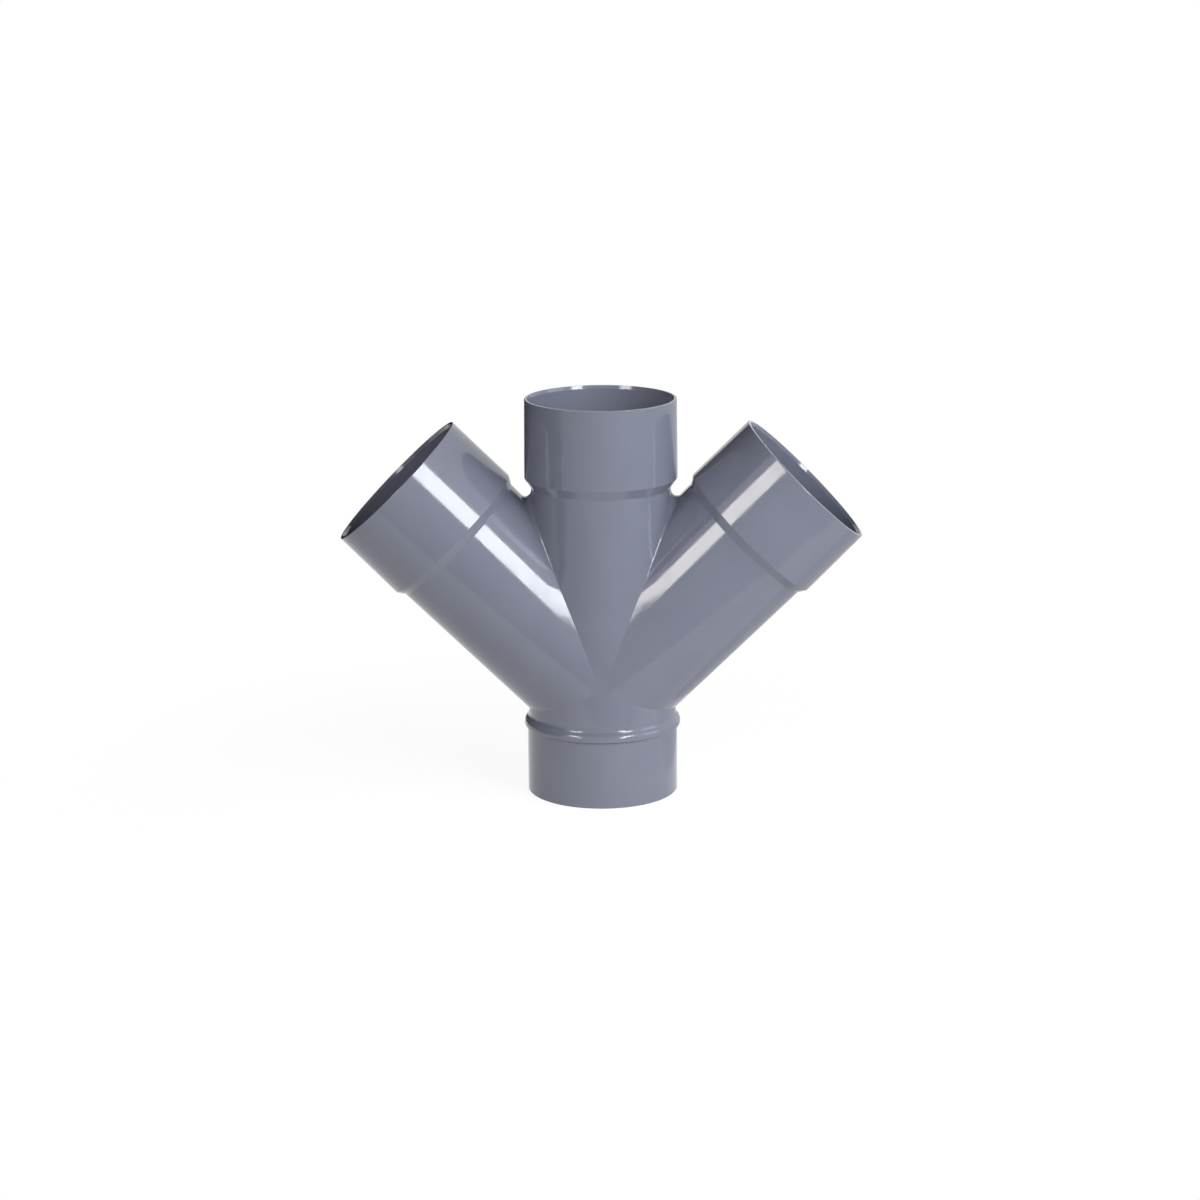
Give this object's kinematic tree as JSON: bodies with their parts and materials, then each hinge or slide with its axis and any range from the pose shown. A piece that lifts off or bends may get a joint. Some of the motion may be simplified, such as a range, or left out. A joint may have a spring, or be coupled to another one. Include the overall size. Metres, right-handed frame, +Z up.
{
  "type": "double wye",
  "caption": "Rigid PVC drain fitting in one piece: a straight run with a spigot and stop bead below, a socket on top and two 45 degree branch sockets.",
  "frame": {"origin": "centre of the spigot's open end, on the axis of the straight run", "axes": "+Z up the run, out of the top socket; the branches lean to +X and -X; the front is towards -Y"},
  "size_m": [0.3776, 0.1178, 0.2915],
  "materials": {
    "grey_pvc": "moulded gloss"
  },
  "bodies": {
    "root": {"fitting_body": "grey_pvc"}
  },
  "joints": []
}
